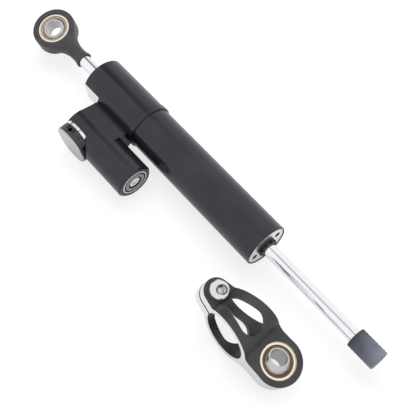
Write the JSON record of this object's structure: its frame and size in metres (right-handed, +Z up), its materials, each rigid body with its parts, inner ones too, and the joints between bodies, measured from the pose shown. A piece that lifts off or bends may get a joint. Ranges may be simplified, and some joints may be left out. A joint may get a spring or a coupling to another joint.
{
  "type": "steering damper",
  "caption": "Through-rod steering damper with a side reservoir, a click adjuster knob, a spherical rod eye, and a loose split frame clamp lying beside it.",
  "frame": {"origin": "centre of the rod eye's ball", "axes": "+X along the damper from the rod eye to the capped rod end, +Z up as it lies, the side reservoir and knob towards -Y"},
  "size_m": [0.3011, 0.0711, 0.0385],
  "materials": {
    "black_anodised": "gloss black anodised",
    "machined_alloy": "machined",
    "satin_black": "satin black anodised",
    "forged_black": "satin black coated",
    "chrome_rod": "hard chrome",
    "bright_steel": "bright zinc",
    "bearing_ball": "ground steel",
    "pale_brass": "passivated, pale gold",
    "liner_brown": "woven liner",
    "bronze": "sintered bronze",
    "black_rubber": "matt",
    "grey_rubber": "matt ribbed",
    "band_plastic": "filled band",
    "spring_steel": "oiled"
  },
  "bodies": {
    "barrel": {"head_block": "black_anodised", "main_tube": "black_anodised", "tube_oring": "black_rubber", "end_cap": "machined_alloy", "end_cap_oring": "black_rubber", "head_guide_bush": "bronze", "cap_guide_bush": "bronze", "head_rod_seal": "black_rubber", "cap_rod_seal": "black_rubber", "head_wiper": "black_rubber", "cap_wiper": "black_rubber", "valve_seat": "bronze", "valve_gland": "machined_alloy", "knob_ring": "machined_alloy", "detent_ball": "bearing_ball", "detent_spring": "spring_steel", "compensator_spring": "spring_steel", "reservoir_plug": "machined_alloy", "plug_oring": "black_rubber", "bleed_screw": "bright_steel"},
    "adjuster": {"knob": "satin_black", "knob_face": "machined_alloy", "knob_grub_screw": "spring_steel", "valve_spindle": "bright_steel", "spindle_oring": "black_rubber"},
    "needle": {"valve_needle": "bright_steel"},
    "separator": {"separator_piston": "machined_alloy", "separator_oring": "black_rubber"},
    "wear_band": {"piston_band": "band_plastic"},
    "rod": {"piston_rod": "chrome_rod", "piston": "machined_alloy", "piston_clips": "spring_steel", "rod_buffer_cap": "grey_rubber", "rod_end_eye": "forged_black", "rod_race": "pale_brass"},
    "rod_liner": {"rod_liner": "liner_brown"},
    "rod_ball": {"rod_ball": "bearing_ball"},
    "clamp": {"clamp_bracket": "satin_black", "pinch_bolt": "bright_steel", "clamp_race": "pale_brass"},
    "clamp_liner": {"clamp_liner": "liner_brown"},
    "clamp_ball": {"clamp_ball": "bearing_ball"}
  },
  "joints": [
    {"name": "rod_slide", "type": "slide", "parent": "barrel", "child": "wear_band", "axis": [1, 0, 0], "range_m": [-0.066, 0.009]},
    {"name": "rod_spin", "type": "hinge", "parent": "wear_band", "child": "rod", "pos_m": [0.16, 0, 0], "axis": [1, 0, 0], "continuous": true},
    {"name": "rod_liner_spin", "type": "hinge", "parent": "rod", "child": "rod_liner", "pos_m": [0, 0, 0], "axis": [0, -0.1761, 0.9844], "continuous": true},
    {"name": "rod_ball_tilt", "type": "hinge", "parent": "rod_liner", "child": "rod_ball", "pos_m": [0, 0, 0], "axis": [0.3629, 0.9173, 0.1641], "range_deg": [-29.2, 10.8]},
    {"name": "knob_turn", "type": "hinge", "parent": "barrel", "child": "adjuster", "pos_m": [0.07206, -0.039, -0.0026], "axis": [0, -1, 0], "range_deg": [-150, 150]},
    {"name": "needle_slide", "type": "slide", "parent": "barrel", "child": "needle", "axis": [0, -1, 0], "range_m": [-0.00025, 0.00025]},
    {"name": "separator_slide", "type": "slide", "parent": "barrel", "child": "separator", "axis": [1, 0, 0], "range_m": [-0.0015, 0.004], "stiffness_N_per_m": 400, "deforming": ["compensator_spring"]},
    {"name": "clamp_lift", "type": "slide", "parent": "barrel", "child": "clamp", "axis": [0, 0, 1], "range_m": [0, 0.08]},
    {"name": "clamp_liner_spin", "type": "hinge", "parent": "clamp", "child": "clamp_liner", "pos_m": [0.25069, -0.04012, -0.00561], "axis": [0.2978, 0.149, 0.9429], "continuous": true},
    {"name": "clamp_ball_tilt", "type": "hinge", "parent": "clamp_liner", "child": "clamp_ball", "pos_m": [0.25069, -0.04012, -0.00561], "axis": [-0.634, -0.7076, 0.3121], "range_deg": [-37.6, 2.4]}
  ],
  "couplings": [
    {"joint": "needle_slide", "follows": "knob_turn", "m_per_rad": 0.000079577}
  ]
}
